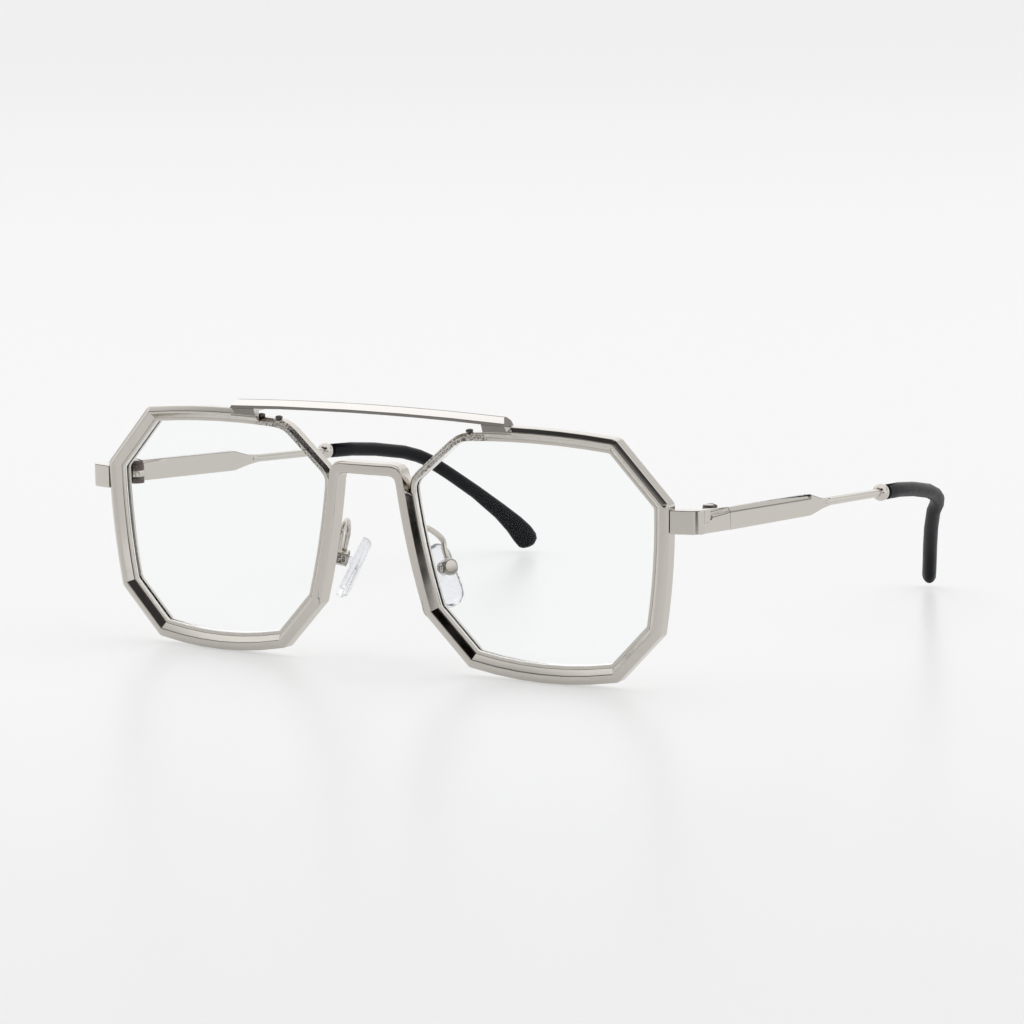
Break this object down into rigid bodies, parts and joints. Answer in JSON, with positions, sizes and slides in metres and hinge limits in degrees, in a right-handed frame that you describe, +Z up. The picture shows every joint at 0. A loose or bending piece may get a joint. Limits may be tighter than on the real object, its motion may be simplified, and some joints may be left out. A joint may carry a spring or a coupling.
{
  "type": "eyeglasses",
  "caption": "Metal eyeglasses with flat eight-sided lenses in thin wire rings, a bevelled front frame, a straight brow bar and folding temples with black tips.",
  "frame": {"origin": "middle of the whole length and width, on the surface that the rims and the tips stand on", "axes": "+X to the wearer's left, the longest extent; +Y back along the temples; +Z up, the shortest extent"},
  "size_m": [0.148, 0.1411, 0.0531],
  "materials": {
    "frame_metal": "polished warm grey metal",
    "bar_metal": "polished pale metal",
    "wire_metal": "fine satin metal",
    "hinge_metal": "satin metal",
    "screw_metal": "dark satin metal",
    "lens": "clear with a faint blue coating",
    "tip": "satin black",
    "pad": "clear soft plastic"
  },
  "bodies": {
    "front": {"front_frame": "frame_metal", "brow_bar": "bar_metal", "left_eyewire": "wire_metal", "right_eyewire": "wire_metal", "left_lens": "lens", "right_lens": "lens", "left_rim_screws": "screw_metal", "right_rim_screws": "screw_metal", "left_endpiece": "frame_metal", "right_endpiece": "frame_metal", "left_front_hinge": "hinge_metal", "right_front_hinge": "hinge_metal", "left_hinge_screw": "screw_metal", "right_hinge_screw": "screw_metal", "left_pad_arm": "wire_metal", "right_pad_arm": "wire_metal", "left_pad_box": "hinge_metal", "right_pad_box": "hinge_metal", "left_pad_screw": "screw_metal", "right_pad_screw": "screw_metal"},
    "left_temple_arm": {"left_temple_hinge": "hinge_metal", "left_temple": "frame_metal", "left_ferrule": "bar_metal", "left_temple_tip": "tip"},
    "right_temple_arm": {"right_temple_hinge": "hinge_metal", "right_temple": "frame_metal", "right_ferrule": "bar_metal", "right_temple_tip": "tip"},
    "left_pad_body": {"left_nose_pad": "pad"},
    "right_pad_body": {"right_nose_pad": "pad"}
  },
  "joints": [
    {"name": "left_temple_fold", "type": "hinge", "parent": "front", "child": "left_temple_arm", "pos_m": [0.07005, -0.05393, 0.033], "axis": [0, 0, 1], "range_deg": [-1, 84]},
    {"name": "right_temple_fold", "type": "hinge", "parent": "front", "child": "right_temple_arm", "pos_m": [-0.07005, -0.05393, 0.033], "axis": [0, 0, -1], "range_deg": [0, 78]},
    {"name": "left_pad_rock", "type": "hinge", "parent": "front", "child": "left_pad_body", "pos_m": [0.0128, -0.06027, 0.0201], "axis": [0.454, 0.891, 0], "range_deg": [-12, 12]},
    {"name": "right_pad_rock", "type": "hinge", "parent": "front", "child": "right_pad_body", "pos_m": [-0.0128, -0.06027, 0.0201], "axis": [-0.454, 0.891, 0], "range_deg": [-12, 12]}
  ]
}
